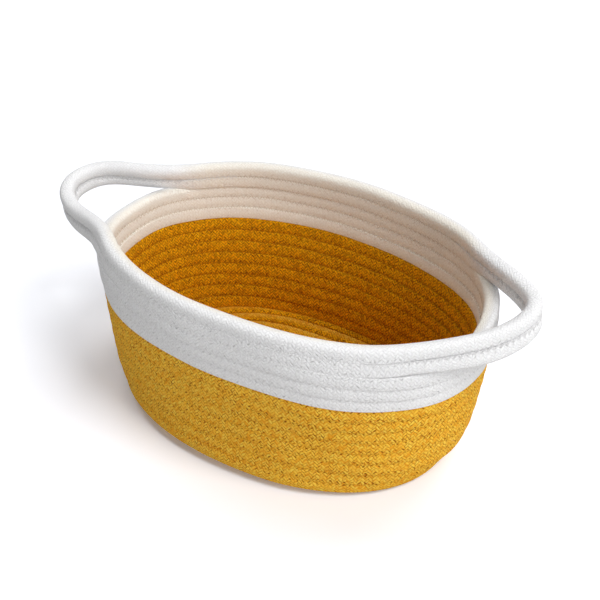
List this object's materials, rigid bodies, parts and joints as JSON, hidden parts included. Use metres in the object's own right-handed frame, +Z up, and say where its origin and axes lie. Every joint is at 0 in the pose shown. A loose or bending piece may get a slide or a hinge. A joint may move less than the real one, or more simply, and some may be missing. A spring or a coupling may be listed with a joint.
{
  "type": "coiled rope basket",
  "caption": "Small oval storage basket coiled from thick cotton rope, mustard below and white above, with a looped rope handle at each end.",
  "frame": {"origin": "centre of the footprint, on the surface that the basket stands on", "axes": "+X along the basket's length towards the right handle, +Y towards the back, +Z up"},
  "size_m": [0.348, 0.1918, 0.1336],
  "materials": {
    "mustard_rope": "dyed braided cotton, matt",
    "white_rope": "bleached braided cotton, matt"
  },
  "bodies": {
    "basket": {"floor_coil": "mustard_rope", "mustard_wall_coil": "mustard_rope", "white_wall_coil": "white_rope", "rim_front_lower_strand": "white_rope", "rim_front_upper_strand": "white_rope", "rim_back_lower_strand": "white_rope", "rim_back_upper_strand": "white_rope"},
    "left_handle": {"left_handle_lower_strand": "white_rope", "left_handle_upper_strand": "white_rope"},
    "right_handle": {"right_handle_lower_strand": "white_rope", "right_handle_upper_strand": "white_rope"}
  },
  "joints": [
    {"name": "left_handle_bend", "type": "hinge", "parent": "basket", "child": "left_handle", "pos_m": [-0.0872, 0, 0.1311], "axis": [0, 1, 0], "range_deg": [0, 55]},
    {"name": "right_handle_bend", "type": "hinge", "parent": "basket", "child": "right_handle", "pos_m": [0.0997, 0, 0.1311], "axis": [0, -1, 0], "range_deg": [0, 55]}
  ]
}
